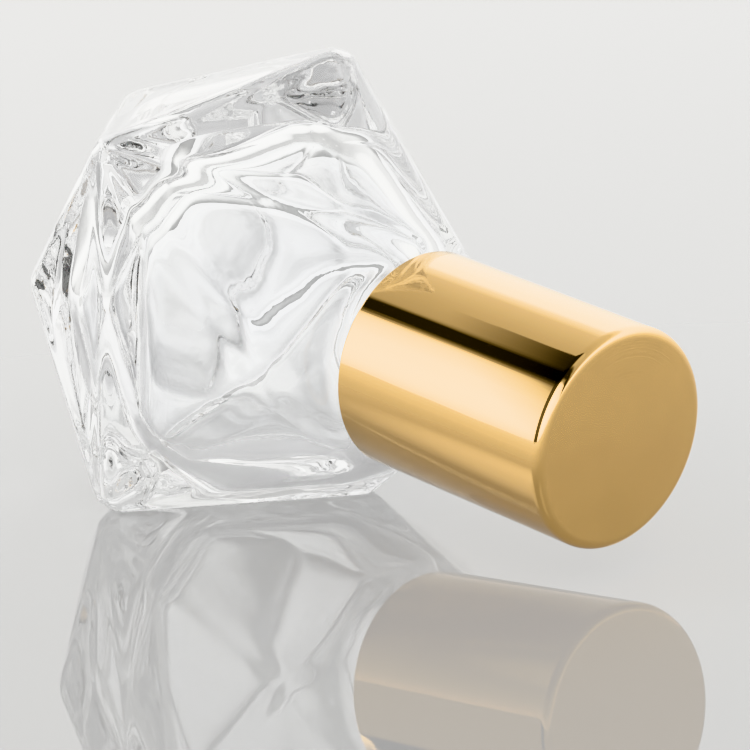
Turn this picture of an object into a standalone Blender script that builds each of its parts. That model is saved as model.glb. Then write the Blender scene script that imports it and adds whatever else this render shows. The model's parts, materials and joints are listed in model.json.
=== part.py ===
"""Roll-on perfume bottle: a five-cornered faceted glass body, a ball fitment and a screw cap.

The bottle is modelled upright on its own axis, base at z = 0, and then laid on one flat side
facet by a parent empty. World +Z is up from the table and the cap points along +X.
Angles round the bottle start at the side that faces the table.
"""

import math

import bmesh
import bpy
import numpy as np
from mathutils import Matrix, Vector

MM = 0.001

# Faceted body: centres of the corner roundings as (angle in degrees, radius, height).
CORNERS = {
    "front_top": (-134.0, 20.7, 12.3),
    "front_low": (-45.5, 19.0, 11.2),
    "shoulder_low": (8.0, 12.2, 22.8),
    "far_side": (88.0, 19.6, 12.0),
    "crown": (181.0, 20.4, 20.6),
    "brow": (-79.0, 8.2, 24.0),
    "base_low": (16.0, 14.9, 1.8),
    "base_far_low": (72.0, 12.8, 1.8),
    "base_far_top": (128.0, 12.8, 1.8),
    "base_top": (-165.0, 13.4, 1.8),
    "base_front": (-94.0, 12.4, 1.8),
    "base_front_low": (-42.0, 11.6, 1.8),
}
RESTING_CORNERS = ("front_low", "shoulder_low", "base_low")
EDGE_RADIUS = 1.8
SHOULDER_RADIUS = 9.0
SHOULDER_HEIGHT = 30.2
SHOULDER_POINTS = 24

# Inner hollow: the same corners drawn in towards one point, with softer roundings.
HOLLOW_CENTRE = 14.6
HOLLOW_SCALE = 0.49
HOLLOW_EDGE_RADIUS = 5.0

# Neck finish.
NECK_RADIUS = 5.9
NECK_TOP = 43.0
NECK_ROOT = 24.0
NECK_LIP = 0.5
BEAD_RADIUS = 6.6
BEAD_LOW, BEAD_HIGH = 31.2, 32.8
BORE_RADIUS = 4.6
BORE_BOTTOM = 22.0
CUT_OVERRUN = 1.0

# Screw thread shared by the neck and the inner cap: one right-handed start.
PITCH = 3.0
THREAD_TURNS = 1.3
THREAD_RIDGE = 0.7
THREAD_STEPS = 24
THREAD_WELD = 0.00001
NECK_THREAD_RADIUS, NECK_THREAD_START = 6.0, 36.0
CAP_THREAD_RADIUS = 6.95

# Ball and its housing.
BALL_RADIUS = 3.9
BALL_CENTRE = 44.65
SOCKET_RADIUS = 4.2
SOCKET_LIP_RISE = 1.9
FEED_RADIUS = 2.4
PLUG_RADIUS = 4.3
PLUG_WALL = 1.1
PLUG_BOTTOM = 37.5
PLUG_LEAD_IN = 0.3
FEED_SLOPE_LOW, FEED_SLOPE_HIGH = 1.2, 0.8
FLANGE_RADIUS = 5.7
FLANGE_LOW, FLANGE_HIGH = 43.3, 44.5
FLANGE_BEVEL = 0.3
SOCKET_LIP_RADIUS = 4.45
SOCKET_NECK_RADIUS = 4.8
SOCKET_NECK_RISE = 0.4
BALL_SEGMENTS, BALL_RINGS = 28, 18

# Cap: thin metal shell over a threaded plastic liner, with a loose sealing disc.
CAP_LOW = 30.6
CAP_LENGTH = 21.3
CAP_RADIUS = 8.5
SHELL_WALL = 0.45
SHELL_EDGE = 0.55
LINER_RADIUS = 7.75
LINER_BORE = 7.1
LINER_LOW = 31.0
LINER_ROOF = 0.8
LINER_BEVEL = 0.5
DISC_RADIUS = 6.6
DISC_THICKNESS = 1.2
DISC_BEVEL = 0.15
GAP = 0.3

TURN_STEPS = 48
ARC_STEPS = 10
OUTER_DETAIL, HOLLOW_DETAIL = 3, 2
AXIS_MERGE = 0.00005
SMOOTH_ANGLE = 35.0


def clear_scene():
    for obj in list(bpy.data.objects):
        bpy.data.objects.remove(obj, do_unlink=True)


def new_collection(name):
    collection = bpy.data.collections.new(name)
    bpy.context.scene.collection.children.link(collection)
    return collection


def material(name, colour, roughness, metallic=0.0, transmission=0.0, alpha=1.0):
    made = bpy.data.materials.new(name)
    made.use_nodes = True
    shader = made.node_tree.nodes["Principled BSDF"]
    shader.inputs["Base Color"].default_value = (*colour, 1.0)
    shader.inputs["Roughness"].default_value = roughness
    shader.inputs["Metallic"].default_value = metallic
    shader.inputs["Transmission Weight"].default_value = transmission
    shader.inputs["Alpha"].default_value = alpha
    return made


def add_object(name, mesh, collection, finish=None):
    obj = bpy.data.objects.new(name, mesh)
    collection.objects.link(obj)
    if finish:
        mesh.materials.append(finish)
    return obj


def as_cutter(obj):
    obj.hide_render = True
    obj.display_type = "WIRE"
    return obj


def corner_point(angle, radius, height):
    """Point at an angle in degrees round the bottle, with lengths in millimetres."""
    turn = math.radians(angle)
    return Vector((radius * math.cos(turn), radius * math.sin(turn), height))


def rounding_centres():
    """Corners of the faceted body and the ring of the shoulder, before rounding."""
    points = [corner_point(*corner) for corner in CORNERS.values()]
    ring_radius = SHOULDER_RADIUS - EDGE_RADIUS
    ring_height = SHOULDER_HEIGHT - EDGE_RADIUS
    for step in range(SHOULDER_POINTS):
        points.append(corner_point(360.0 * step / SHOULDER_POINTS, ring_radius, ring_height))
    return points


def rounded_hull(name, centres, radius, detail):
    """Convex solid with flat facets between the centres and every edge rounded by the radius."""
    bm = bmesh.new()
    ball = bmesh.new()
    bmesh.ops.create_icosphere(ball, subdivisions=detail, radius=radius)
    offsets = [vert.co.copy() for vert in ball.verts]
    ball.free()
    for centre in centres:
        for offset in offsets:
            bm.verts.new((centre + offset) * MM)
    hull = bmesh.ops.convex_hull(bm, input=bm.verts)
    inside = [part for part in hull["geom_interior"] if isinstance(part, bmesh.types.BMVert)]
    unused = [part for part in hull["geom_unused"] if isinstance(part, bmesh.types.BMVert)]
    bmesh.ops.delete(bm, geom=list(set(inside + unused)), context="VERTS")
    bmesh.ops.recalc_face_normals(bm, faces=bm.faces)
    mesh = bpy.data.meshes.new(name)
    bm.to_mesh(mesh)
    bm.free()
    mesh.shade_smooth()
    mesh.set_sharp_from_angle(angle=math.radians(SMOOTH_ANGLE))
    return mesh


def turned(name, profile, collection, finish=None, closed=True):
    """Solid of revolution round Z from (radius, height) points, outer side first, going down."""
    mesh = bpy.data.meshes.new(name)
    count = len(profile)
    edges = [(i, i + 1) for i in range(count - 1)]
    if closed:
        edges.append((count - 1, 0))
    mesh.from_pydata([(r * MM, 0.0, z * MM) for r, z in profile], edges, [])
    obj = add_object(name, mesh, collection, finish)
    screw = obj.modifiers.new("Turn", "SCREW")
    screw.axis = "Z"
    screw.steps = TURN_STEPS
    screw.render_steps = TURN_STEPS
    screw.use_merge_vertices = True
    screw.merge_threshold = AXIS_MERGE
    screw.use_smooth_shade = True
    return obj


def arc(centre, radius, start, end, steps=ARC_STEPS):
    """Points of an arc in the (radius, height) plane, angles in degrees from outwards."""
    points = []
    for angle in np.linspace(math.radians(start), math.radians(end), steps + 1):
        points.append((centre[0] + radius * math.cos(angle), centre[1] + radius * math.sin(angle)))
    return points


def thread_ridge(name, radius, start, collection):
    """Helical bead as a closed mesh, ready to join to a wall."""
    curve = bpy.data.curves.new(name, "CURVE")
    curve.dimensions = "3D"
    curve.bevel_depth = THREAD_RIDGE * MM
    curve.bevel_resolution = 2
    curve.use_fill_caps = True
    spline = curve.splines.new("POLY")
    count = int(THREAD_TURNS * THREAD_STEPS) + 1
    spline.points.add(count - 1)
    for index in range(count):
        turns = index / THREAD_STEPS
        point = corner_point(360.0 * turns, radius, start + PITCH * turns) * MM
        spline.points[index].co = (*point, 1.0)
    source = bpy.data.objects.new(name + "_path", curve)
    collection.objects.link(source)
    bpy.context.view_layer.update()
    graph = bpy.context.evaluated_depsgraph_get()
    mesh = bpy.data.meshes.new_from_object(source.evaluated_get(graph))
    bpy.data.objects.remove(source, do_unlink=True)
    bm = bmesh.new()
    bm.from_mesh(mesh)
    bmesh.ops.remove_doubles(bm, verts=bm.verts, dist=THREAD_WELD)
    bmesh.ops.recalc_face_normals(bm, faces=bm.faces)
    bm.to_mesh(mesh)
    bm.free()
    return as_cutter(add_object(name, mesh, collection))


def combine(obj, other, operation):
    boolean = obj.modifiers.new(other.name, "BOOLEAN")
    boolean.operation = operation
    boolean.object = other
    boolean.solver = "EXACT"


def make_glass_bottle(parts, cutters, finish):
    outer = rounded_hull("glass_bottle", rounding_centres(), EDGE_RADIUS, OUTER_DETAIL)
    bottle = add_object("glass_bottle", outer, parts, finish)
    lip = arc((NECK_RADIUS - NECK_LIP, NECK_TOP - NECK_LIP), NECK_LIP, 90, 0, 4)
    neck_profile = [(0.0, NECK_TOP)] + lip + [
        (NECK_RADIUS, BEAD_HIGH + NECK_LIP),
        (BEAD_RADIUS, BEAD_HIGH),
        (BEAD_RADIUS, BEAD_LOW),
        (NECK_RADIUS, BEAD_LOW - NECK_LIP),
        (NECK_RADIUS, NECK_ROOT),
        (0.0, NECK_ROOT),
    ]
    neck = as_cutter(turned("neck_solid", neck_profile, cutters, closed=False))
    thread = thread_ridge("neck_thread", NECK_THREAD_RADIUS, NECK_THREAD_START, cutters)
    centre = Vector((0.0, 0.0, HOLLOW_CENTRE))
    drawn_in = [centre + (point - centre) * HOLLOW_SCALE for point in rounding_centres()]
    hollow_mesh = rounded_hull("hollow", drawn_in, HOLLOW_EDGE_RADIUS, HOLLOW_DETAIL)
    hollow = as_cutter(add_object("hollow", hollow_mesh, cutters))
    bore_profile = [
        (0.0, NECK_TOP + CUT_OVERRUN),
        (BORE_RADIUS, NECK_TOP + CUT_OVERRUN),
        (BORE_RADIUS, BORE_BOTTOM),
        (0.0, BORE_BOTTOM),
    ]
    bore = as_cutter(turned("bore", bore_profile, cutters, closed=False))
    combine(bottle, neck, "UNION")
    combine(bottle, thread, "UNION")
    combine(bottle, hollow, "DIFFERENCE")
    combine(bottle, bore, "DIFFERENCE")
    return bottle


def make_ball_housing(parts, finish):
    lip_angle = math.degrees(math.asin(SOCKET_LIP_RISE / SOCKET_RADIUS))
    feed_angle = -math.degrees(math.acos(FEED_RADIUS / SOCKET_RADIUS))
    lip_height = BALL_CENTRE + SOCKET_LIP_RISE
    feed_height = BALL_CENTRE + SOCKET_RADIUS * math.sin(math.radians(feed_angle))
    profile = [
        (SOCKET_LIP_RADIUS, lip_height),
        (SOCKET_NECK_RADIUS, FLANGE_HIGH + SOCKET_NECK_RISE),
        (FLANGE_RADIUS - FLANGE_BEVEL, FLANGE_HIGH),
        (FLANGE_RADIUS, FLANGE_HIGH - FLANGE_BEVEL),
        (FLANGE_RADIUS, FLANGE_LOW),
        (PLUG_RADIUS, FLANGE_LOW),
        (PLUG_RADIUS, PLUG_BOTTOM + PLUG_LEAD_IN),
        (PLUG_RADIUS - PLUG_LEAD_IN, PLUG_BOTTOM),
        (PLUG_RADIUS - PLUG_WALL, PLUG_BOTTOM),
        (PLUG_RADIUS - PLUG_WALL, feed_height - FEED_SLOPE_LOW),
        (FEED_RADIUS, feed_height - FEED_SLOPE_HIGH),
    ]
    profile += arc((0.0, BALL_CENTRE), SOCKET_RADIUS, feed_angle, lip_angle)
    return turned("ball_housing", profile, parts, finish)


def make_roller_ball(parts, finish):
    mesh = bpy.data.meshes.new("roller_ball")
    bm = bmesh.new()
    bmesh.ops.create_uvsphere(
        bm,
        u_segments=BALL_SEGMENTS,
        v_segments=BALL_RINGS,
        radius=BALL_RADIUS * MM,
    )
    bm.to_mesh(mesh)
    bm.free()
    mesh.shade_smooth()
    ball = add_object("roller_ball", mesh, parts, finish)
    ball.location = (0.0, 0.0, BALL_CENTRE * MM)
    return ball


def make_cap_shell(parts, finish):
    top = CAP_LOW + CAP_LENGTH
    inner = CAP_RADIUS - SHELL_WALL
    roof = top - SHELL_WALL
    corner = (CAP_RADIUS - SHELL_EDGE, top - SHELL_EDGE)
    inner_corner = (inner - GAP, roof - GAP)
    profile = [(0.0, top)] + arc(corner, SHELL_EDGE, 90, 0, 6)
    profile += [(CAP_RADIUS, CAP_LOW), (inner, CAP_LOW)]
    profile += arc(inner_corner, GAP, 0, 90, 4) + [(0.0, roof)]
    return turned("cap_shell", profile, parts, finish, closed=False)


def make_inner_cap(parts, cutters, finish):
    top = CAP_LOW + CAP_LENGTH - SHELL_WALL - GAP
    roof = top - LINER_ROOF
    profile = [
        (0.0, top),
        (LINER_RADIUS - LINER_BEVEL, top),
        (LINER_RADIUS, top - LINER_BEVEL),
        (LINER_RADIUS, LINER_LOW),
        (LINER_BORE, LINER_LOW),
        (LINER_BORE, roof),
        (0.0, roof),
    ]
    liner = turned("inner_cap", profile, parts, finish, closed=False)
    start = NECK_THREAD_START - PITCH / 2
    thread = thread_ridge("cap_thread", CAP_THREAD_RADIUS, start, cutters)
    combine(liner, thread, "UNION")
    return liner


def make_seal_disc(parts, finish):
    roof = CAP_LOW + CAP_LENGTH - SHELL_WALL - GAP - LINER_ROOF
    mesh = bpy.data.meshes.new("seal_disc")
    bm = bmesh.new()
    bmesh.ops.create_cone(
        bm,
        cap_ends=True,
        segments=TURN_STEPS,
        radius1=DISC_RADIUS * MM,
        radius2=DISC_RADIUS * MM,
        depth=DISC_THICKNESS * MM,
    )
    height = roof - GAP - DISC_THICKNESS / 2
    bmesh.ops.translate(bm, verts=bm.verts, vec=(0.0, 0.0, height * MM))
    bm.to_mesh(mesh)
    bm.free()
    mesh.shade_smooth()
    mesh.set_sharp_from_angle(angle=math.radians(SMOOTH_ANGLE))
    disc = add_object("seal_disc", mesh, parts, finish)
    bevel = disc.modifiers.new("Edge", "BEVEL")
    bevel.width = DISC_BEVEL * MM
    bevel.segments = 2
    bevel.limit_method = "ANGLE"
    return disc


def lying_rotation():
    """Turn that puts the resting facet flat on the table and the cap towards +X."""
    first, second, third = (corner_point(*CORNERS[name]) for name in RESTING_CORNERS)
    outward = (second - first).cross(third - first).normalized()
    if outward.dot(first) < 0:
        outward.negate()
    up = -outward
    axis = Vector((0.0, 0.0, 1.0))
    along = (axis - up * axis.dot(up)).normalized()
    across = up.cross(along)
    return Matrix((along, across, up)).to_4x4()


def world_box(objects):
    """Lowest and highest corner of the evaluated objects in world space."""
    bpy.context.view_layer.update()
    graph = bpy.context.evaluated_depsgraph_get()
    points = []
    for obj in objects:
        evaluated = obj.evaluated_get(graph)
        mesh = evaluated.to_mesh()
        points += [evaluated.matrix_world @ vert.co for vert in mesh.vertices]
        evaluated.to_mesh_clear()
    points = np.array(points)
    return points.min(axis=0), points.max(axis=0)


def lay_down(pieces, helpers, collection):
    """Parents everything to one empty that lays the bottle on its facet, centred on the origin."""
    pose = bpy.data.objects.new("lying_pose", None)
    collection.objects.link(pose)
    for obj in pieces + helpers:
        obj.parent = pose
    pose.matrix_world = lying_rotation()
    low, high = world_box(pieces)
    middle = (low + high) / 2
    pose.matrix_world = Matrix.Translation((-middle[0], -middle[1], -low[2])) @ lying_rotation()
    return pose


def main():
    clear_scene()
    bpy.context.scene.unit_settings.scale_length = 1.0
    parts = new_collection("roll_on_perfume_bottle")
    cutters = new_collection("cutters")
    glass = material("clear_glass", (0.95, 0.97, 0.97), 0.02, transmission=1.0, alpha=0.35)
    plastic = material("natural_plastic", (0.86, 0.87, 0.86), 0.35)
    steel = material("polished_steel", (0.75, 0.75, 0.76), 0.08, metallic=1.0)
    gold = material("gold_anodised", (0.83, 0.62, 0.33), 0.15, metallic=1.0)
    liner = material("white_liner", (0.90, 0.90, 0.88), 0.40)
    foam = material("seal_foam", (0.93, 0.93, 0.92), 0.70)
    pieces = [
        make_glass_bottle(parts, cutters, glass),
        make_ball_housing(parts, plastic),
        make_roller_ball(parts, steel),
        make_cap_shell(parts, gold),
        make_inner_cap(parts, cutters, liner),
        make_seal_disc(parts, foam),
    ]
    lay_down(pieces, list(cutters.objects), parts)


main()
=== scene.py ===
"""Roll-on perfume bottle: its finished glass, metal and plastic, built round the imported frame."""

import json
import math

import bmesh
import bpy
from mathutils import Matrix, Vector, bvhtree, kdtree, noise


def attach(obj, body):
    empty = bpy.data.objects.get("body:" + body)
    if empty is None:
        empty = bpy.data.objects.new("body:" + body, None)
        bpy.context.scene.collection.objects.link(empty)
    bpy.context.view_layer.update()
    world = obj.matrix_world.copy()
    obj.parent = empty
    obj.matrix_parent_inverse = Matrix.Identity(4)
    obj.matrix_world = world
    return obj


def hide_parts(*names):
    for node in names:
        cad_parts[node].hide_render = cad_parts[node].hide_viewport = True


bl_info = {
    "name": "Faceted Roll-on Bottle",
    "version": (1, 0, 0),
    "blender": (4, 5, 0),
    "location": "View3D > Sidebar > Roll-on Bottle",
    "description": "Builds a faceted glass roll-on bottle with its ball and its gold screw cap",
    "category": "Add Mesh",
}

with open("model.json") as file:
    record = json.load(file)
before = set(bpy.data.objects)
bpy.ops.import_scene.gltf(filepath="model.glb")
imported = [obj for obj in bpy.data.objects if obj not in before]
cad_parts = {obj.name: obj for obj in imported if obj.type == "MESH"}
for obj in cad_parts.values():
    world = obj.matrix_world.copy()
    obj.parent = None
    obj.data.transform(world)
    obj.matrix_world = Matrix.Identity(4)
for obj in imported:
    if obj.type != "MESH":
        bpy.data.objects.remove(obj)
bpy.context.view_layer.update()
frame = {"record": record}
MM = 0.001

# The bottle's own frame: base centre, axis towards the cap, and the side that faces the table.
MOUNTS = {mount["name"]: mount for mount in frame["record"]["mounts"]}
BASE = Vector(MOUNTS["base_face"]["pos_m"])
AXIS = Vector(MOUNTS["cap_end_face"]["axis"]).normalized()
LENGTH = (Vector(MOUNTS["cap_end_face"]["pos_m"]) - BASE).length / MM

# All sizes below are in millimetres, and heights run along the axis from the base.
# Faceted body: (angle in degrees, radius, height) of the rounding centre in each corner.
CORNERS = (
    (-134.0, 20.7, 12.3),
    (-45.5, 19.0, 11.2),
    (8.0, 12.2, 22.8),
    (88.0, 19.6, 12.0),
    (181.0, 20.4, 20.6),
    (-79.0, 8.2, 24.0),
    (16.0, 14.9, 1.8),
    (72.0, 12.8, 1.8),
    (128.0, 12.8, 1.8),
    (-165.0, 13.4, 1.8),
    (-94.0, 12.4, 1.8),
    (-42.0, 11.6, 1.8),
)
EDGE_RADIUS = 1.8
# Facets that meet at a wider turn than this get a bead along their edge.
RIDGE_TURN = math.radians(18.0)
RIDGE_TOP_MARGIN, RIDGE_SPACING, RIDGE_STEPS = 3.0, 0.3, 90
# Ridges across the broad facets: (start, end, share of the bead's height).
FRONT_CORNER, NEAR_CORNER = (-134.0, 22.3, 12.3), (-79.0, 9.8, 24.5)
LOW_CORNER = (-45.5, 20.5, 11.2)
SOFT_RIDGES = (
    (FRONT_CORNER, (180.0, 9.0, 30.0), 1.3),
    (FRONT_CORNER, NEAR_CORNER, 0.6),
    (LOW_CORNER, NEAR_CORNER, 0.5),
    (NEAR_CORNER, (-60.0, 9.0, 30.0), 0.5),
    (NEAR_CORNER, (-115.0, 9.0, 30.0), 0.5),
)
# Tiny voids in the glass: (angle, radius, height, size).
BUBBLES = (
    (178.0, 16.2, 19.4, 0.16), (184.0, 17.4, 18.8, 0.11), (176.0, 15.1, 20.6, 0.09),
    (188.0, 15.8, 20.2, 0.13), (180.0, 14.2, 18.2, 0.08), (190.0, 16.9, 17.4, 0.1),
    (120.0, 15.5, 14.0, 0.1), (-128.0, 17.2, 12.6, 0.12),
)
SHOULDER_RADIUS, SHOULDER_HEIGHT, SHOULDER_POINTS = 9.0, 30.2, 36
ROUNDING_DETAIL = 4
OUTER_PASSES, INNER_PASSES = 24, 30
OUTER_WAVE_SIZE, INNER_WAVE_SIZE, INNER_WAVE_SHARE = 5.0, 9.0, 1.5
HOLLOW_CENTRE, HOLLOW_SCALE, HOLLOW_EDGE_RADIUS = 14.6, 0.49, 5.0
BORE_RADIUS, BORE_BOTTOM, BORE_TOP = 4.6, 22.0, 46.0
NECK_RADIUS, NECK_TOP, NECK_ROOT = 5.9, 43.0, 24.0
BEAD_RADIUS, BEAD_LOW, BEAD_HIGH, BEAD_FILLET = 6.6, 31.2, 32.8, 0.5
PITCH, THREAD_TURNS, THREAD_RIDGE, THREAD_STEPS = 3.0, 1.3, 0.7, 48
NECK_THREAD_RADIUS, NECK_THREAD_START, CAP_THREAD_RADIUS = 6.0, 36.0, 6.95
RUN_OUT_START, RUN_OUT_STEP = 0.3, 0.1

# Ball and its housing.
BALL_RADIUS, BALL_CENTRE, SOCKET_RADIUS = 3.9, 44.65, 4.2
PLUG_RADIUS, PLUG_BOTTOM, PLUG_BORE = 4.3, 37.5, 3.2
FLANGE_RADIUS, FLANGE_LOW, FLANGE_HIGH = 5.7, 43.3, 44.5
LIP_RADIUS, LIP_RISE, COLLAR_RADIUS, COLLAR_RISE = 4.45, 1.9, 4.8, 0.4
FEED_RADIUS, FEED_LOW, FEED_HIGH, SOCKET_STEPS = 2.4, 40.0, 40.4, 16
BALL_SEGMENTS, BALL_RINGS = 96, 48

# Cap: its gold shell, its threaded liner and the foam disc under the liner's roof.
CAP_RADIUS, CAP_LENGTH = 8.5, 21.3
CAP_LOW = LENGTH - CAP_LENGTH
SHELL_WALL, SHELL_LIP, LINER_RADIUS, LINER_BORE, LINER_ROOF = 0.45, 0.12, 7.75, 7.1, 0.8
LINER_SET_BACK = 0.4
# Faces of the shell that look along the axis by this much take the satin finish.
END_FACING = 0.999
DISC_RADIUS, DISC_THICKNESS, DISC_EDGE, GAP = 6.6, 1.2, 0.15, 0.3

# Turned pieces: segments round the axis, and the angle at which an edge stays sharp.
NECK_SEGMENTS, PART_SEGMENTS, SHELL_SEGMENTS = 96, 128, 256
SHARP_ANGLE = math.radians(40.0)
WELD = 0.02


def bottle_matrix():
    """Places a piece that is modelled upright, base at its origin, where the bottle lies."""
    across = Vector((0.0, 1.0, 0.0))
    down = across.cross(AXIS).normalized()
    return Matrix.Translation(BASE) @ Matrix((down, across, AXIS)).transposed().to_4x4()


def polar(angle, radius, height):
    """Point in metres from an angle in degrees and a radius and height in millimetres."""
    turn = math.radians(angle)
    return Vector((radius * math.cos(turn), radius * math.sin(turn), height)) * MM


def new_object(name, mesh):
    """New object in the scene for a mesh, a curve or a camera."""
    obj = bpy.data.objects.new(name, mesh)
    bpy.context.scene.collection.objects.link(obj)
    return obj


def baked(obj):
    """The object's mesh with its modifiers applied; the object itself is removed."""
    bpy.context.view_layer.update()
    graph = bpy.context.evaluated_depsgraph_get()
    mesh = bpy.data.meshes.new_from_object(obj.evaluated_get(graph))
    mesh.name = obj.name
    bpy.data.objects.remove(obj, do_unlink=True)
    return mesh


def facing_out(mesh):
    """Turns every face of the mesh outwards."""
    bm = bmesh.new()
    bm.from_mesh(mesh)
    bmesh.ops.recalc_face_normals(bm, faces=bm.faces)
    bm.to_mesh(mesh)
    bm.free()
    return mesh


def joined(name, meshes):
    """One mesh that holds all the given meshes, still overlapping."""
    bm = bmesh.new()
    for mesh in meshes:
        bm.from_mesh(mesh)
    made = bpy.data.meshes.new(name)
    bm.to_mesh(made)
    bm.free()
    return made


def rounded_hull(name, centres, radius, detail):
    """Convex solid with flat facets between the centres and its edges rounded by the radius."""
    ball = bmesh.new()
    bmesh.ops.create_icosphere(ball, subdivisions=detail, radius=radius * MM)
    offsets = [vert.co.copy() for vert in ball.verts]
    ball.free()
    bm = bmesh.new()
    for centre in centres:
        for offset in offsets:
            bm.verts.new(centre + offset)
    hull = bmesh.ops.convex_hull(bm, input=bm.verts)
    spare = {part for part in hull["geom_interior"] + hull["geom_unused"]
             if isinstance(part, bmesh.types.BMVert)}
    bmesh.ops.delete(bm, geom=list(spare), context="VERTS")
    bmesh.ops.recalc_face_normals(bm, faces=bm.faces)
    mesh = bpy.data.meshes.new(name)
    bm.to_mesh(mesh)
    bm.free()
    return mesh


def body_centres(scale=1.0):
    """Rounding centres of the body, drawn in towards the middle of the hollow by the scale."""
    centres = [polar(*corner) for corner in CORNERS]
    ring = SHOULDER_RADIUS - EDGE_RADIUS
    for step in range(SHOULDER_POINTS):
        centres.append(polar(360.0 * step / SHOULDER_POINTS, ring, SHOULDER_HEIGHT - EDGE_RADIUS))
    middle = Vector((0.0, 0.0, HOLLOW_CENTRE * MM))
    return [middle + (centre - middle) * scale for centre in centres]


def rounded_outline(corners, steps=5):
    """Outline of (radius, height) points from corners (radius, height, rounding)."""
    outline = []
    for index, (r, z, rounding) in enumerate(corners):
        here = Vector((r, z))
        if rounding <= 0.0 or index in (0, len(corners) - 1):
            outline.append(here)
            continue
        before = Vector(corners[index - 1][:2]) - here
        after = Vector(corners[(index + 1) % len(corners)][:2]) - here
        reach = min(rounding, 0.49 * before.length, 0.49 * after.length)
        start = here + before.normalized() * reach
        end = here + after.normalized() * reach
        for step in range(steps + 1):
            t = step / steps
            outline.append(start * (1 - t) ** 2 + here * 2 * t * (1 - t) + end * t * t)
    return outline


def turned_mesh(name, outline, steps, closed=True):
    """Solid of revolution round Z from (radius, height) points in millimetres."""
    mesh = bpy.data.meshes.new(name)
    edges = [(i, i + 1) for i in range(len(outline) - 1)]
    if closed:
        edges.append((len(outline) - 1, 0))
    mesh.from_pydata([(p[0] * MM, 0.0, p[1] * MM) for p in outline], edges, [])
    obj = new_object(name, mesh)
    screw = obj.modifiers.new("Turn", "SCREW")
    screw.axis = "Z"
    screw.steps = screw.render_steps = steps
    screw.use_merge_vertices = True
    screw.merge_threshold = WELD * MM
    return facing_out(baked(obj))


def thread_mesh(name, radius, start):
    """Helical ridge with pointed run-outs, as a closed tube."""
    curve = bpy.data.curves.new(name, "CURVE")
    curve.dimensions = "3D"
    curve.bevel_depth = THREAD_RIDGE * MM
    curve.bevel_resolution = 4
    curve.use_fill_caps = True
    spline = curve.splines.new("POLY")
    count = int(THREAD_TURNS * THREAD_STEPS) + 1
    spline.points.add(count - 1)
    for index, point in enumerate(spline.points):
        turns = index / THREAD_STEPS
        from_end = min(index, count - 1 - index)
        point.co = (*polar(360.0 * turns, radius, start + PITCH * turns), 1.0)
        point.radius = min(1.0, RUN_OUT_START + RUN_OUT_STEP * from_end)
    mesh = baked(new_object(name, curve))
    bm = bmesh.new()
    bm.from_mesh(mesh)
    bmesh.ops.remove_doubles(bm, verts=bm.verts, dist=WELD / 2.0 * MM)
    bm.to_mesh(mesh)
    bm.free()
    return facing_out(mesh)


def softened(mesh, voxel, passes):
    """One even skin round overlapping solids, with its corners eased."""
    obj = new_object(mesh.name, mesh)
    remesh = obj.modifiers.new("Skin", "REMESH")
    remesh.mode = "VOXEL"
    remesh.voxel_size = voxel * MM
    smooth = obj.modifiers.new("Ease", "SMOOTH")
    smooth.factor = 0.5
    smooth.iterations = passes
    return baked(obj)


def waved(mesh, height, size, seed):
    """Gives a surface the slow unevenness of moulded glass."""
    shift = Vector((seed * 7.3, seed * 3.1, seed * 5.7))
    moves = [vert.normal * noise.noise(vert.co / (size * MM) + shift) * height * MM
             for vert in mesh.vertices]
    for vert, move in zip(mesh.vertices, moves):
        vert.co += move


def ridge_points(centres):
    """Points along the outer edges where the body's facets meet."""
    bm = bmesh.new()
    for centre in centres:
        bm.verts.new(centre)
    bmesh.ops.convex_hull(bm, input=bm.verts)
    bmesh.ops.recalc_face_normals(bm, faces=bm.faces)
    points = []
    for edge in bm.edges:
        if len(edge.link_faces) != 2 or edge.calc_face_angle() < RIDGE_TURN:
            continue
        if min(vert.co.z for vert in edge.verts) > (SHOULDER_HEIGHT - RIDGE_TOP_MARGIN) * MM:
            continue
        out = sum((face.normal for face in edge.link_faces), Vector()).normalized()
        out *= EDGE_RADIUS * MM
        first, last = (vert.co for vert in edge.verts)
        count = max(2, int((last - first).length / (RIDGE_SPACING * MM)))
        points.extend(first.lerp(last, step / count) + out for step in range(count + 1))
    bm.free()
    return points


def surface_line(mesh, start, end):
    """Points of a straight line, each moved to the nearest place on the mesh."""
    bm = bmesh.new()
    bm.from_mesh(mesh)
    tree = bvhtree.BVHTree.FromBMesh(bm)
    bm.free()
    first, last = polar(*start), polar(*end)
    return [tree.find_nearest(first.lerp(last, step / RIDGE_STEPS))[0]
            for step in range(RIDGE_STEPS + 1)]


def raised(mesh, lines, height, width):
    """Raises a soft bead along each row of surface points, by its share of the height."""
    lifts = [0.0] * len(mesh.vertices)
    for points, share in lines:
        tree = kdtree.KDTree(len(points))
        for index, point in enumerate(points):
            tree.insert(point, index)
        tree.balance()
        for index, vert in enumerate(mesh.vertices):
            distance = tree.find(vert.co)[2] / (width * MM)
            lifts[index] = max(lifts[index], share * math.exp(-distance * distance))
    moves = [vert.normal * lift * height * MM for vert, lift in zip(mesh.vertices, lifts)]
    for vert, move in zip(mesh.vertices, moves):
        vert.co += move


def resting(mesh):
    """Flattens whatever would reach through the table that the bottle lies on."""
    place = bottle_matrix()
    back = place.inverted()
    for vert in mesh.vertices:
        lying = place @ vert.co
        if lying.z < 0.0:
            vert.co = back @ Vector((lying.x, lying.y, 0.0))


def bubbled(mesh, places):
    """Adds small round voids, (angle, radius, height, size), inside the glass."""
    bm = bmesh.new()
    bm.from_mesh(mesh)
    for angle, radius, height, size in places:
        made = bmesh.ops.create_icosphere(
            bm, subdivisions=3, radius=size * MM,
            matrix=Matrix.Translation(polar(angle, radius, height)))
        faces = {face for vert in made["verts"] for face in vert.link_faces}
        bmesh.ops.reverse_faces(bm, faces=list(faces))
    bm.to_mesh(mesh)
    bm.free()


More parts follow.
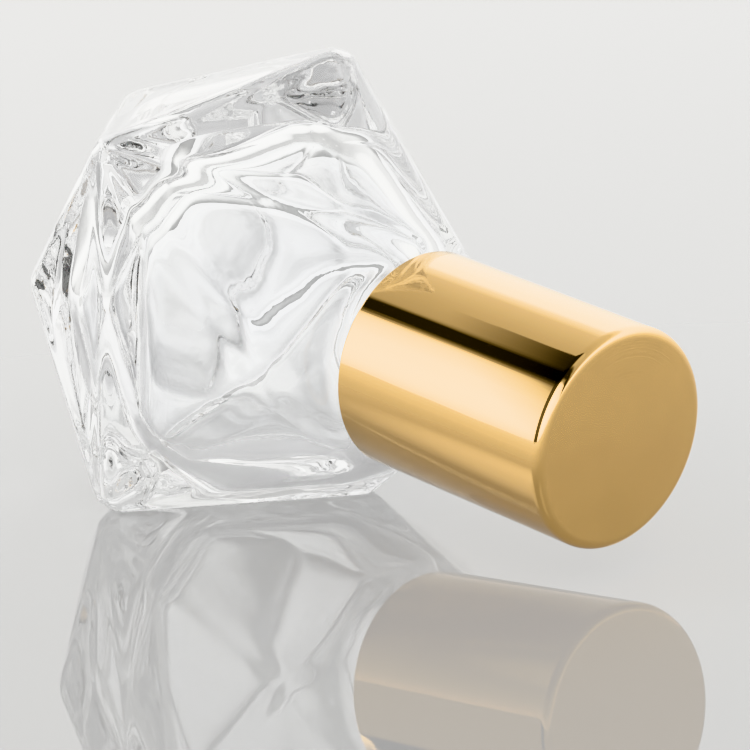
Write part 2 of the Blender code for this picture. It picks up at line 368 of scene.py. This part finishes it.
def boolean(mesh, other, operation):
    """The first mesh with the second one joined to it or cut from it."""
    obj = new_object(mesh.name, mesh)
    tool = new_object(other.name, other)
    modifier = obj.modifiers.new("Cut", "BOOLEAN")
    modifier.operation = operation
    modifier.object = tool
    modifier.solver = "MANIFOLD"
    result = baked(obj)
    bpy.data.objects.remove(tool, do_unlink=True)
    return result


def finished_piece(name, mesh, materials, body, nodes):
    """Stands a mesh in its place as a piece that rides on a body and replaces the CAD nodes."""
    mesh.shade_smooth()
    mesh.set_sharp_from_angle(angle=SHARP_ANGLE)
    mesh.materials.clear()
    for material in materials:
        mesh.materials.append(material)
    obj = new_object(name, mesh)
    obj.matrix_world = bottle_matrix()
    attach(obj, body)
    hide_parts(*nodes)
    return obj


# ---------------------------------------------------------------- materials


def node_group(name, inputs, outputs):
    """Empty shader group that reads a Position and float inputs {name: default}."""
    group = bpy.data.node_groups.new(name, "ShaderNodeTree")
    group.interface.new_socket("Position", in_out="INPUT", socket_type="NodeSocketVector")
    for label, value in inputs.items():
        socket = group.interface.new_socket(label, in_out="INPUT", socket_type="NodeSocketFloat")
        socket.default_value = value
    for label in outputs:
        group.interface.new_socket(label, in_out="OUTPUT", socket_type="NodeSocketFloat")
    start = group.nodes.new("NodeGroupInput")
    end = group.nodes.new("NodeGroupOutput")
    return group, start, end


def stretched(group, start):
    """The position read more slowly along the bottle's length, by the group's Along input."""
    along = group.nodes.new("ShaderNodeCombineXYZ")
    along.inputs["X"].default_value = along.inputs["Y"].default_value = 1.0
    moved = group.nodes.new("ShaderNodeVectorMath")
    moved.operation = "MULTIPLY"
    group.links.new(start.outputs["Along"], along.inputs["Z"])
    group.links.new(start.outputs["Position"], moved.inputs[0])
    group.links.new(along.outputs["Vector"], moved.inputs[1])
    return moved.outputs["Vector"]


def spread_out(group, start, end, value, low, high):
    """Ends a group by spreading a value from low..high over the group's Low..High inputs."""
    spread = group.nodes.new("ShaderNodeMapRange")
    spread.inputs["From Min"].default_value = low
    spread.inputs["From Max"].default_value = high
    group.links.new(value, spread.inputs["Value"])
    group.links.new(start.outputs["Low"], spread.inputs["To Min"])
    group.links.new(start.outputs["High"], spread.inputs["To Max"])
    group.links.new(spread.outputs["Result"], end.inputs["Value"])


def uneven_group():
    """Slow patches or lengthwise lines, for polish and grain that vary over a surface, and for the
    table's painted pools of light.
    """
    name = "uneven_patches"
    if name in bpy.data.node_groups:
        return bpy.data.node_groups[name]
    group, start, end = node_group(
        name, {"Scale": 300.0, "Along": 1.0, "Low": 0.0, "High": 1.0}, ["Value"])
    grain = group.nodes.new("ShaderNodeTexNoise")
    grain.inputs["Detail"].default_value = 3.0
    group.links.new(stretched(group, start), grain.inputs["Vector"])
    group.links.new(start.outputs["Scale"], grain.inputs["Scale"])
    spread_out(group, start, end, grain.outputs["Fac"], 0.3, 0.7)
    return group


def rings_group():
    """Fine rings round the bottle's axis, as left by a lathe or a turned mould."""
    name = "turned_rings"
    if name in bpy.data.node_groups:
        return bpy.data.node_groups[name]
    group, start, end = node_group(name, {"Scale": 3000.0, "Low": 0.0, "High": 1.0}, ["Value"])
    flat = group.nodes.new("ShaderNodeVectorMath")
    flat.operation = "MULTIPLY"
    flat.inputs[1].default_value = (1.0, 1.0, 0.0)
    away = group.nodes.new("ShaderNodeVectorMath")
    away.operation = "LENGTH"
    rings = group.nodes.new("ShaderNodeTexNoise")
    rings.noise_dimensions = "1D"
    group.links.new(start.outputs["Position"], flat.inputs[0])
    group.links.new(flat.outputs["Vector"], away.inputs[0])
    group.links.new(away.outputs["Value"], rings.inputs["W"])
    group.links.new(start.outputs["Scale"], rings.inputs["Scale"])
    spread_out(group, start, end, rings.outputs["Fac"], 0.3, 0.7)
    return group


def cells_group():
    """Small round cells, as in foamed plastic."""
    name = "foam_cells"
    if name in bpy.data.node_groups:
        return bpy.data.node_groups[name]
    group, start, end = node_group(name, {"Scale": 3000.0, "Low": 0.0, "High": 1.0}, ["Value"])
    cells = group.nodes.new("ShaderNodeTexVoronoi")
    group.links.new(start.outputs["Position"], cells.inputs["Vector"])
    group.links.new(start.outputs["Scale"], cells.inputs["Scale"])
    spread_out(group, start, end, cells.outputs["Distance"], 0.1, 0.7)
    return group


def math_node(tree, operation, first, second=0.0):
    """Adds a Math node; each input is a socket or a number. Returns its output."""
    node = tree.nodes.new("ShaderNodeMath")
    node.operation = operation
    for socket, value in zip(node.inputs, (first, second)):
        if isinstance(value, (int, float)):
            socket.default_value = value
        else:
            tree.links.new(value, socket)
    return node.outputs["Value"]


def principled(name, colour, roughness, **sockets):
    """New material with its Principled shader's plain values set."""
    material = bpy.data.materials.new(name)
    material.use_nodes = True
    shader = material.node_tree.nodes["Principled BSDF"]
    shader.inputs["Base Color"].default_value = (*colour, 1.0)
    shader.inputs["Roughness"].default_value = roughness
    for label, value in sockets.items():
        shader.inputs[label.replace("_", " ")].default_value = value
    return material, shader


def place_group(material, group, **values):
    """Adds a shared group to a material, read in the piece's own coordinates."""
    tree = material.node_tree
    here = tree.nodes.new("ShaderNodeTexCoord")
    node = tree.nodes.new("ShaderNodeGroup")
    node.node_tree = group
    tree.links.new(here.outputs["Object"], node.inputs["Position"])
    for label, value in values.items():
        node.inputs[label].default_value = value
    return node


def bumped(material, shader, value, distance):
    """Raises the surface by a value between 0 and 1, times a distance in millimetres."""
    tree = material.node_tree
    bump = tree.nodes.new("ShaderNodeBump")
    bump.inputs["Distance"].default_value = distance * MM
    tree.links.new(value, bump.inputs["Height"])
    tree.links.new(bump.outputs["Normal"], shader.inputs["Normal"])


def tinted(material, shader, value, first, second):
    """Mixes the base colour from two colours by a value between 0 and 1."""
    tree = material.node_tree
    mix = tree.nodes.new("ShaderNodeMix")
    mix.data_type = "RGBA"
    colours = [socket for socket in mix.inputs if socket.type == "RGBA"]
    for socket, colour in zip(colours, (first, second)):
        socket.default_value = (*colour, 1.0)
    tree.links.new(value, mix.inputs["Factor"])
    mixed = [socket for socket in mix.outputs if socket.type == "RGBA"][0]
    tree.links.new(mixed, shader.inputs["Base Color"])


def polished(material, shader, group, **values):
    """Lets the roughness vary between the group's Low and High values."""
    varied = place_group(material, group, **values)
    material.node_tree.links.new(varied.outputs["Value"], shader.inputs["Roughness"])


def glass_material():
    settings = bpy.context.scene.bottle_glass
    material, shader = principled(
        "clear_flint_glass", settings.colour, 0.0, IOR=1.5, Transmission_Weight=1.0)
    patches = place_group(material, uneven_group(), Scale=90.0)
    tinted(material, shader, patches.outputs["Value"], settings.colour, settings.tint)
    skin = place_group(material, uneven_group(), Scale=260.0)
    bumped(material, shader, skin.outputs["Value"], 0.006)
    return material


def gold_side_material():
    colour = Vector(bpy.context.scene.bottle_cap.colour)
    material, shader = principled(
        "gold_anodised_side", colour, 0.045, Metallic=1.0, Coat_Weight=0.6, Coat_Roughness=0.03)
    polished(material, shader, uneven_group(), Scale=2600.0, Along=0.03, Low=0.03, High=0.065)
    patches = place_group(material, uneven_group(), Scale=180.0)
    tinted(material, shader, patches.outputs["Value"], colour, colour * 0.97)
    lines = place_group(material, uneven_group(), Scale=1800.0, Along=0.02)
    bumped(material, shader, lines.outputs["Value"], 0.002)
    return material


def gold_end_material():
    colour = Vector(bpy.context.scene.bottle_cap.colour)
    material, shader = principled(
        "gold_anodised_end", colour, 0.23, Metallic=1.0, Coat_Weight=0.6, Coat_Roughness=0.05)
    polished(material, shader, uneven_group(), Scale=700.0, Low=0.2, High=0.27)
    patches = place_group(material, uneven_group(), Scale=240.0)
    tinted(material, shader, patches.outputs["Value"], colour, colour * 0.95)
    rings = place_group(material, rings_group(), Scale=5200.0)
    bumped(material, shader, rings.outputs["Value"], 0.003)
    return material


def plastic_material(name, first, second, low, high, **sockets):
    """Moulded plastic: slightly cloudy colour, uneven gloss and a fine orange-peel skin."""
    material, shader = principled(name, first, low, **sockets)
    cloud = place_group(material, uneven_group(), Scale=220.0)
    tinted(material, shader, cloud.outputs["Value"], first, second)
    polished(material, shader, uneven_group(), Scale=500.0, Low=low, High=high)
    skin = place_group(material, uneven_group(), Scale=2200.0)
    bumped(material, shader, skin.outputs["Value"], 0.006)
    return material


def steel_material():
    colour = (0.72, 0.72, 0.73)
    material, shader = principled("polished_steel", colour, 0.06, Metallic=1.0)
    cloud = place_group(material, uneven_group(), Scale=400.0)
    tinted(material, shader, cloud.outputs["Value"], colour, (0.66, 0.66, 0.68))
    polished(material, shader, uneven_group(), Scale=900.0, Along=0.3, Low=0.04, High=0.1)
    lines = place_group(material, rings_group(), Scale=6000.0)
    bumped(material, shader, lines.outputs["Value"], 0.0006)
    return material


def foam_material():
    light, crease_shade = (0.9, 0.9, 0.88), (0.74, 0.74, 0.72)
    material, shader = principled("seal_foam", light, 0.8)
    cells = place_group(material, cells_group(), Scale=2600.0)
    # The colour darkens where the bump sinks between the cells: painted shade in those creases,
    # over the foam's cell pattern.
    tinted(material, shader, cells.outputs["Value"], light, crease_shade)
    polished(material, shader, uneven_group(), Scale=800.0, Low=0.7, High=0.9)
    dips = place_group(material, cells_group(), Scale=2600.0, Low=1.0, High=0.0)
    bumped(material, shader, dips.outputs["Value"], 0.08)
    return material


# ---------------------------------------------------------------- settings


class BottleGlassSettings(bpy.types.PropertyGroup):
    colour: bpy.props.FloatVectorProperty(
        name="Glass Colour", description="Colour of the clear glass", subtype="COLOR",
        default=(0.988, 0.992, 0.99), min=0.0, max=1.0)
    tint: bpy.props.FloatVectorProperty(
        name="Glass Tint", description="Faint colour of its thicker streaks", subtype="COLOR",
        default=(0.965, 0.972, 0.985), min=0.0, max=1.0)
    voxel: bpy.props.FloatProperty(
        name="Skin Size", description="Size of the glass skin's mesh cells in millimetres",
        default=0.35, min=0.15, max=1.0)
    wave_height: bpy.props.FloatProperty(
        name="Wave Height", description="How uneven the moulded glass is, in millimetres",
        default=0.045, min=0.0, max=0.3)
    bead_height: bpy.props.FloatProperty(
        name="Edge Bead Height", description="Height of the bead along each edge in millimetres",
        default=0.22, min=0.0, max=0.6)
    bead_width: bpy.props.FloatProperty(
        name="Edge Bead Width", description="Width of the bead along each edge in millimetres",
        default=0.95, min=0.3, max=3.0)


class BottleCapSettings(bpy.types.PropertyGroup):
    colour: bpy.props.FloatVectorProperty(
        name="Gold Colour", description="Colour of the anodised shell", subtype="COLOR",
        default=(0.88, 0.57, 0.22), min=0.0, max=1.0)
    edge: bpy.props.FloatProperty(
        name="Edge Rounding", description="Rounding of the cap's end edge in millimetres",
        default=0.8, min=0.1, max=2.0)


class BottleStageSettings(bpy.types.PropertyGroup):
    floor: bpy.props.FloatVectorProperty(
        name="Floor Colour", description="Colour of the glossy table", subtype="COLOR",
        default=(0.1, 0.1, 0.1), min=0.0, max=1.0)
    glow: bpy.props.FloatVectorProperty(
        name="Table Glow Colour", description="Colour of the light that comes through the table",
        subtype="COLOR", default=(1.0, 0.995, 0.99), min=0.0, max=1.0)
    glow_strength: bpy.props.FloatProperty(
        name="Table Glow", description="Strength of the light that comes through the table",
        default=0.28, min=0.0, max=2.0)
    # Painted light: pools of glow on the table, seen only through glass.
    painted_pool_low: bpy.props.FloatProperty(
        name="Dim Pools", description="Table glow added, seen through glass, in the dimmer pools",
        default=0.04, min=-1.0, max=2.0)
    painted_pool_high: bpy.props.FloatProperty(
        name="Bright Pools",
        description="Table glow added, seen through glass, in the brighter pools",
        default=0.42, min=-1.0, max=2.0)
    painted_far_glow: bpy.props.FloatProperty(
        name="Far Glow", description="Table glow added, seen through glass, away from the bottle",
        default=0.35, min=0.0, max=2.0)
    backdrop: bpy.props.FloatProperty(
        name="Backdrop", description="Brightness of the plain backdrop",
        default=0.9, min=0.0, max=5.0)
    light_colour: bpy.props.FloatVectorProperty(
        name="Light Colour", description="Colour of the studio light", subtype="COLOR",
        default=(1.0, 0.995, 0.975), min=0.0, max=1.0)


SETTINGS = {
    "bottle_glass": BottleGlassSettings,
    "bottle_cap": BottleCapSettings,
    "bottle_stage": BottleStageSettings,
}


# ---------------------------------------------------------------- pieces


class MakeGlassBody(bpy.types.Operator):
    """Make the faceted glass body with its neck, thread and hollow"""
    bl_idname = "bottle.glass_body"
    bl_label = "Glass Body"

    def execute(self, context):
        settings = context.scene.bottle_glass
        hull = rounded_hull("glass_outside", body_centres(), EDGE_RADIUS, ROUNDING_DETAIL)
        neck = turned_mesh("neck", rounded_outline([
            (0.0, NECK_TOP, 0.0), (NECK_RADIUS, NECK_TOP, 0.5),
            (NECK_RADIUS, BEAD_HIGH + BEAD_FILLET, 0.4), (BEAD_RADIUS, BEAD_HIGH, 0.5),
            (BEAD_RADIUS, BEAD_LOW, 0.5), (NECK_RADIUS, BEAD_LOW - BEAD_FILLET, 0.4),
            (NECK_RADIUS, NECK_ROOT, 0.0), (0.0, NECK_ROOT, 0.0)]), NECK_SEGMENTS, closed=False)
        outside = softened(joined("glass_outside", [hull, neck]), settings.voxel, OUTER_PASSES)
        lines = [(ridge_points(body_centres()), 1.0)]
        lines += [(surface_line(outside, start, end), share) for start, end, share in SOFT_RIDGES]
        raised(outside, lines, settings.bead_height, settings.bead_width)
        waved(outside, settings.wave_height, OUTER_WAVE_SIZE, 1)
        resting(outside)
        hollow = rounded_hull(
            "glass_inside", body_centres(HOLLOW_SCALE), HOLLOW_EDGE_RADIUS, ROUNDING_DETAIL)
        bore = turned_mesh("bore", [
            (0.0, BORE_TOP), (BORE_RADIUS, BORE_TOP), (BORE_RADIUS, BORE_BOTTOM),
            (0.0, BORE_BOTTOM)], NECK_SEGMENTS, closed=False)
        inside = softened(joined("glass_inside", [hollow, bore]), settings.voxel, INNER_PASSES)
        waved(inside, settings.wave_height * INNER_WAVE_SHARE, INNER_WAVE_SIZE, 2)
        thread = thread_mesh("neck_thread", NECK_THREAD_RADIUS, NECK_THREAD_START)
        solid = boolean(outside, thread, "UNION")
        solid = boolean(solid, inside, "DIFFERENCE")
        bubbled(solid, BUBBLES)
        finished_piece(
            "faceted_glass_body", solid, [glass_material()], "bottle", ["glass_bottle"])
        return {"FINISHED"}


class MakeBallFitment(bpy.types.Operator):
    """Make the plastic ball housing and the steel ball"""
    bl_idname = "bottle.ball_fitment"
    bl_label = "Ball and Housing"

    def execute(self, context):
        corners = [
            (LIP_RADIUS, BALL_CENTRE + LIP_RISE, 0.0),
            (COLLAR_RADIUS, FLANGE_HIGH + COLLAR_RISE, 0.3),
            (FLANGE_RADIUS, FLANGE_HIGH, 0.3), (FLANGE_RADIUS, FLANGE_LOW, 0.2),
            (PLUG_RADIUS, FLANGE_LOW, 0.1), (PLUG_RADIUS, PLUG_BOTTOM, 0.4),
            (PLUG_BORE, PLUG_BOTTOM, 0.2), (PLUG_BORE, FEED_LOW, 0.3),
            (FEED_RADIUS, FEED_HIGH, 0.0)]
        outline = [tuple(point) for point in rounded_outline(corners)]
        start = -math.acos(FEED_RADIUS / SOCKET_RADIUS)
        end = math.asin(LIP_RISE / SOCKET_RADIUS)
        for step in range(SOCKET_STEPS + 1):
            angle = start + (end - start) * step / SOCKET_STEPS
            outline.append((SOCKET_RADIUS * math.cos(angle),
                            BALL_CENTRE + SOCKET_RADIUS * math.sin(angle)))
        housing = turned_mesh("ball_fitment", outline, PART_SEGMENTS)
        plastic = plastic_material(
            "natural_polythene", (0.8, 0.82, 0.81), (0.74, 0.77, 0.76), 0.28, 0.42,
            Subsurface_Weight=0.3, Subsurface_Scale=0.001)
        finished_piece("ball_fitment", housing, [plastic], "bottle", ["ball_housing"])
        bm = bmesh.new()
        bmesh.ops.create_uvsphere(
            bm, u_segments=BALL_SEGMENTS, v_segments=BALL_RINGS, radius=BALL_RADIUS * MM)
        bmesh.ops.translate(bm, verts=bm.verts, vec=(0.0, 0.0, BALL_CENTRE * MM))
        ball = bpy.data.meshes.new("steel_roller")
        bm.to_mesh(ball)
        bm.free()
        finished_piece(
            "steel_roller", ball, [steel_material()], "ball", ["roller_ball"])
        return {"FINISHED"}


class MakeCap(bpy.types.Operator):
    """Make the gold shell, its threaded liner and the foam seal"""
    bl_idname = "bottle.screw_cap"
    bl_label = "Screw Cap"

    def execute(self, context):
        edge = context.scene.bottle_cap.edge
        inner = CAP_RADIUS - SHELL_WALL
        roof = LENGTH - SHELL_WALL
        shell = turned_mesh("gold_shell", rounded_outline([
            (0.0, LENGTH, 0.0), (CAP_RADIUS, LENGTH, edge), (CAP_RADIUS, CAP_LOW, SHELL_LIP),
            (inner, CAP_LOW, SHELL_LIP), (inner, roof, 0.3), (0.0, roof, 0.0)], 8),
            SHELL_SEGMENTS, closed=False)
        obj = finished_piece(
            "gold_cap_shell", shell, [gold_side_material(), gold_end_material()], "cap",
            ["cap_shell"])
        for face in obj.data.polygons:
            if face.normal.z > END_FACING and face.center.z > (LENGTH - SHELL_WALL / 2) * MM:
                face.material_index = 1
        liner_top = roof - GAP
        liner_roof = liner_top - LINER_ROOF
        liner_low = CAP_LOW + LINER_SET_BACK
        liner = turned_mesh("cap_liner", rounded_outline([
            (0.0, liner_top, 0.0), (LINER_RADIUS, liner_top, 0.5), (LINER_RADIUS, liner_low, 0.2),
            (LINER_BORE, liner_low, 0.2), (LINER_BORE, liner_roof, 0.3),
            (0.0, liner_roof, 0.0)]), PART_SEGMENTS, closed=False)
        thread = thread_mesh("cap_thread", CAP_THREAD_RADIUS, NECK_THREAD_START - PITCH / 2)
        liner = boolean(liner, thread, "UNION")
        white = plastic_material(
            "white_polypropylene", (0.86, 0.86, 0.84), (0.82, 0.82, 0.79), 0.3, 0.42)
        finished_piece("threaded_cap_liner", liner, [white], "cap", ["inner_cap"])
        disc_top = liner_roof - GAP
        disc_low = disc_top - DISC_THICKNESS
        disc = turned_mesh("foam_seal", rounded_outline([
            (0.0, disc_top, 0.0), (DISC_RADIUS, disc_top, DISC_EDGE),
            (DISC_RADIUS, disc_low, DISC_EDGE), (0.0, disc_low, 0.0)]), PART_SEGMENTS, closed=False)
        finished_piece("foam_seal", disc, [foam_material()], "seal", ["seal_disc"])
        return {"FINISHED"}


# ---------------------------------------------------------------- stage

# Camera: place in metres; heading, downward tilt and roll in degrees; lens in millimetres.
CAMERA_PLACE = Vector((0.24383, -0.22137, 0.10811))
CAMERA_HEADING, CAMERA_DROP, CAMERA_ROLL = 48.1, 16.54, -2.75
CAMERA_LENS, CAMERA_SENSOR = 213.4, 36.0
# Clear glass needs this many bounces, or it fills with black.
GLASS_BOUNCES = 24
# Table: half its width and how far it lies under the glass, in metres.
TABLE_REACH, TABLE_CLEARANCE = 3.0, 0.00002
# Painted pools of light that show only through glass, and where they give way to the painted far
# glow.
POOL_SCALE, POOL_CENTRE, POOL_EDGE, FAR_EDGE = 38.0, (-0.05, 0.02, 0.0), 0.065, 0.13
# The most light that metal mirrors when it is itself seen in the table.
DOUBLE_MIRROR_LIMIT = 0.8
# Light that the metal mirrors: (angle round the bottle's length in degrees, brightness).
METAL_LIGHT = (
    (-180.0, 1.5), (-90.0, 0.6), (-4.0, 0.9), (0.0, 4.0), (9.0, 6.0), (20.0, 6.5), (36.0, 6.0),
    (50.0, 4.0), (54.0, 2.6), (56.5, 0.6), (60.0, 0.02), (70.5, 0.02), (75.0, 0.6), (95.0, 0.72),
    (121.0, 0.96), (129.0, 2.2), (134.0, 5.5), (150.0, 5.5), (162.0, 4.5), (180.0, 1.2),
)
# Share of it along the bottle's length: (cosine from the cap's end, share).
METAL_GAP = (
    (-1.0, 1.0), (-0.6, 1.0), (-0.52, 0.03), (-0.1, 0.03), (0.02, 1.2), (0.4, 1.2), (1.0, 0.8),
)
# Light that glass and the table mirror: (height above the horizon in degrees, brightness).
ROOM_LIGHT = (
    (-90.0, 0.8), (0.0, 1.3), (11.0, 1.45), (16.0, 1.72), (22.0, 1.86), (30.0, 1.5), (45.0, 1.0),
    (90.0, 0.9),
)
# The same room seen through the glass.
GLASS_LIGHT = ((-90.0, 0.5), (0.0, 0.8), (14.0, 1.1), (30.0, 0.9), (50.0, 0.66), (90.0, 0.8))
# Soft lamps round the table: (direction, half width in degrees, brightness).
LAMPS = (
    ((-0.55, -0.55, 0.63), 14.0, 5.0), ((-0.3, 0.75, 0.6), 16.0, 4.0),
    ((0.6, -0.2, 0.78), 12.0, 3.0),
)
# The same seen through the glass; a negative brightness is a dark card.
CARDS = (
    ((-0.95, 0.25, 0.1), 12.0, -0.25), ((-0.6, 0.78, 0.0), 18.0, -0.4),
    ((0.7, -0.3, 0.5), 14.0, -0.3), ((-0.8, 0.42, 0.5), 22.0, 0.9),
    ((0.3, 0.9, 0.3), 14.0, 0.4), ((-0.4, -0.8, 0.5), 14.0, -0.4),
)
# Where a lamp's light begins and is full, as shares of its half width.
LAMP_OUTER, LAMP_INNER = 1.4, 0.6


class MakeStage(bpy.types.Operator):
    """Make the table, the studio light and the camera"""
    bl_idname = "bottle.stage"
    bl_label = "Stage"

    def make_floor(self, settings):
        """A glossy table that glows a little, with painted pools of light that show only through
        glass.
        """
        bm = bmesh.new()
        bmesh.ops.create_grid(bm, x_segments=1, y_segments=1, size=TABLE_REACH)
        mesh = bpy.data.meshes.new("table")
        bm.to_mesh(mesh)
        bm.free()
        table = new_object("table", mesh)
        table.location.z = -TABLE_CLEARANCE
        material, shader = principled(
            "glossy_table", settings.floor, 0.0, IOR=1.49, Emission_Color=(*settings.glow, 1.0))
        tree = material.node_tree
        path = tree.nodes.new("ShaderNodeLightPath")
        # Painted light: the table glows brighter in soft pools and away from the bottle, but only
        # where it is seen through glass.
        through = math_node(tree, "GREATER_THAN", path.outputs["Transmission Depth"], 0.5)
        pools = place_group(material, uneven_group(), Scale=POOL_SCALE,
                            Low=settings.painted_pool_low, High=settings.painted_pool_high)
        spot = tree.nodes.new("ShaderNodeTexCoord")
        away = tree.nodes.new("ShaderNodeVectorMath")
        away.operation = "DISTANCE"
        away.inputs[1].default_value = POOL_CENTRE
        tree.links.new(spot.outputs["Object"], away.inputs[0])
        far = tree.nodes.new("ShaderNodeMapRange")
        far.inputs["From Min"].default_value = POOL_EDGE
        far.inputs["From Max"].default_value = FAR_EDGE
        far.inputs["To Max"].default_value = settings.painted_far_glow
        tree.links.new(away.outputs["Value"], far.inputs["Value"])
        painted_pools = math_node(tree, "ADD", pools.outputs["Value"], far.outputs["Result"])
        extra = math_node(tree, "MULTIPLY", through, painted_pools)
        glow = math_node(tree, "ADD", extra, settings.glow_strength)
        tree.links.new(glow, shader.inputs["Emission Strength"])
        mesh.materials.append(material)

    def level(self, tree, value, low, high, stops):
        """Brightness read off a row of (value, level) stops."""
        highest = max(brightness for at, brightness in stops)
        place = tree.nodes.new("ShaderNodeMapRange")
        place.inputs["From Min"].default_value = low
        place.inputs["From Max"].default_value = high
        tree.links.new(value, place.inputs["Value"])
        ramp = tree.nodes.new("ShaderNodeValToRGB")
        elements = ramp.color_ramp.elements
        while len(elements) < len(stops):
            elements.new(0.5)
        first, last = stops[0][0], stops[-1][0]
        for element, (at, brightness) in zip(elements, stops):
            element.position = (at - first) / (last - first)
        for element, (at, brightness) in zip(elements, stops):
            element.color = (*[brightness / highest] * 3, 1.0)
        tree.links.new(place.outputs["Result"], ramp.inputs["Fac"])
        return math_node(tree, "MULTIPLY", ramp.outputs["Color"], highest)

    def lamp(self, tree, direction, aim, half_width, brightness):
        """Extra brightness inside a soft-edged round lamp."""
        toward = tree.nodes.new("ShaderNodeVectorMath")
        toward.operation = "DOT_PRODUCT"
        toward.inputs[1].default_value = Vector(aim).normalized()
        tree.links.new(direction, toward.inputs[0])
        edge = tree.nodes.new("ShaderNodeMapRange")
        edge.interpolation_type = "SMOOTHSTEP"
        edge.inputs["From Min"].default_value = math.cos(math.radians(half_width * LAMP_OUTER))
        edge.inputs["From Max"].default_value = math.cos(math.radians(half_width * LAMP_INNER))
        edge.inputs["To Max"].default_value = brightness
        tree.links.new(toward.outputs["Value"], edge.inputs["Value"])
        return edge.outputs["Result"]

    def make_light(self, settings):
        """A studio whose light is set apart for metal, for glass and for what glass shows."""
        world = bpy.data.worlds.new("studio")
        bpy.context.scene.world = world
        world.use_nodes = True
        world.cycles.sampling_method = "NONE"
        tree = world.node_tree
        here = tree.nodes.new("ShaderNodeTexCoord")
        direction = here.outputs["Generated"]
        split = tree.nodes.new("ShaderNodeSeparateXYZ")
        tree.links.new(direction, split.inputs["Vector"])
        back = math_node(tree, "MULTIPLY", split.outputs["Y"], -1.0)
        turn = math_node(tree, "ARCTAN2", split.outputs["Z"], back)
        height = math_node(tree, "ARCSINE", split.outputs["Z"])
        bands = self.level(tree, turn, -math.pi, math.pi, METAL_LIGHT)
        front = math_node(tree, "GREATER_THAN", back, 0.0)
        share = self.level(tree, split.outputs["X"], -1.0, 1.0, METAL_GAP)
        gap = self.choose(tree, front, 1.0, share)
        metal = math_node(tree, "MULTIPLY", bands, gap)
        room = self.level(tree, height, -math.pi / 2, math.pi / 2, ROOM_LIGHT)
        inside = self.level(tree, height, -math.pi / 2, math.pi / 2, GLASS_LIGHT)
        for aim, half_width, brightness in LAMPS:
            shine = self.lamp(tree, direction, aim, half_width, brightness)
            room = math_node(tree, "ADD", room, shine)
        for aim, half_width, brightness in CARDS:
            shine = self.lamp(tree, direction, aim, half_width, brightness)
            inside = math_node(tree, "ADD", inside, shine)
        path = tree.nodes.new("ShaderNodeLightPath")
        twice = math_node(tree, "GREATER_THAN", path.outputs["Glossy Depth"], 1.5)
        dimmed = math_node(tree, "MINIMUM", metal, DOUBLE_MIRROR_LIMIT)
        metal = self.choose(tree, twice, metal, dimmed)
        through = math_node(tree, "GREATER_THAN", path.outputs["Transmission Depth"], 0.5)
        dull = math_node(tree, "SUBTRACT", 1.0, path.outputs["Is Singular Ray"])
        on_metal = math_node(tree, "MULTIPLY", path.outputs["Is Glossy Ray"], dull)
        seen = self.choose(tree, through, room, inside)
        seen = self.choose(tree, on_metal, seen, metal)
        seen = self.choose(tree, path.outputs["Is Camera Ray"], seen, settings.backdrop)
        background = tree.nodes["Background"]
        background.inputs["Color"].default_value = (*settings.light_colour, 1.0)
        tree.links.new(seen, background.inputs["Strength"])

    def choose(self, tree, which, first, second):
        """The first value where which is 0 and the second where it is 1."""
        rest = math_node(tree, "SUBTRACT", 1.0, which)
        return math_node(tree, "ADD", math_node(tree, "MULTIPLY", first, rest),
                         math_node(tree, "MULTIPLY", second, which))

    def make_camera(self):
        """A long lens that looks down at the bottle from the cap's side."""
        data = bpy.data.cameras.new("camera")
        data.sensor_width = CAMERA_SENSOR
        data.lens = CAMERA_LENS
        data.clip_start, data.clip_end = 0.01, 20.0
        camera = new_object("camera", data)
        heading, drop, roll = (
            math.radians(turn) for turn in (CAMERA_HEADING, CAMERA_DROP, CAMERA_ROLL))
        forward = Vector((-math.sin(heading) * math.cos(drop), math.cos(heading) * math.cos(drop),
                          -math.sin(drop)))
        right = forward.cross(Vector((0.0, 0.0, 1.0))).normalized()
        up = right.cross(forward)
        tipped_right = math.cos(roll) * right + math.sin(roll) * up
        tipped_up = math.cos(roll) * up - math.sin(roll) * right
        facing = Matrix((tipped_right, tipped_up, -forward)).transposed().to_4x4()
        camera.matrix_world = Matrix.Translation(CAMERA_PLACE) @ facing
        bpy.context.scene.camera = camera

    def execute(self, context):
        settings = context.scene.bottle_stage
        self.make_camera()
        self.make_floor(settings)
        self.make_light(settings)
        context.scene.view_settings.view_transform = "Khronos PBR Neutral"
        context.scene.cycles.max_bounces = GLASS_BOUNCES
        context.scene.cycles.glossy_bounces = GLASS_BOUNCES
        context.scene.cycles.transmission_bounces = GLASS_BOUNCES
        return {"FINISHED"}


OPERATORS = (MakeStage, MakeGlassBody, MakeBallFitment, MakeCap)


class BottlePanel(bpy.types.Panel):
    """Lists the sizes, the colours and the pieces"""
    bl_idname = "VIEW3D_PT_roll_on_bottle"
    bl_label = "Roll-on Bottle"
    bl_space_type = "VIEW_3D"
    bl_region_type = "UI"
    bl_category = "Roll-on Bottle"

    def draw(self, context):
        for name, group in SETTINGS.items():
            box = self.layout.box()
            for field in group.__annotations__:
                box.prop(getattr(context.scene, name), field)
        for operator in OPERATORS:
            self.layout.operator(operator.bl_idname)


def register():
    for name, group in SETTINGS.items():
        bpy.utils.register_class(group)
        setattr(bpy.types.Scene, name, bpy.props.PointerProperty(type=group))
    for made in (*OPERATORS, BottlePanel):
        bpy.utils.register_class(made)


def unregister():
    for made in (BottlePanel, *reversed(OPERATORS)):
        bpy.utils.unregister_class(made)
    for name, group in SETTINGS.items():
        delattr(bpy.types.Scene, name)
        bpy.utils.unregister_class(group)


def main():
    register()
    bpy.ops.bottle.stage()
    bpy.ops.bottle.glass_body()
    bpy.ops.bottle.ball_fitment()
    bpy.ops.bottle.screw_cap()


if __name__ == "__main__":
    main()
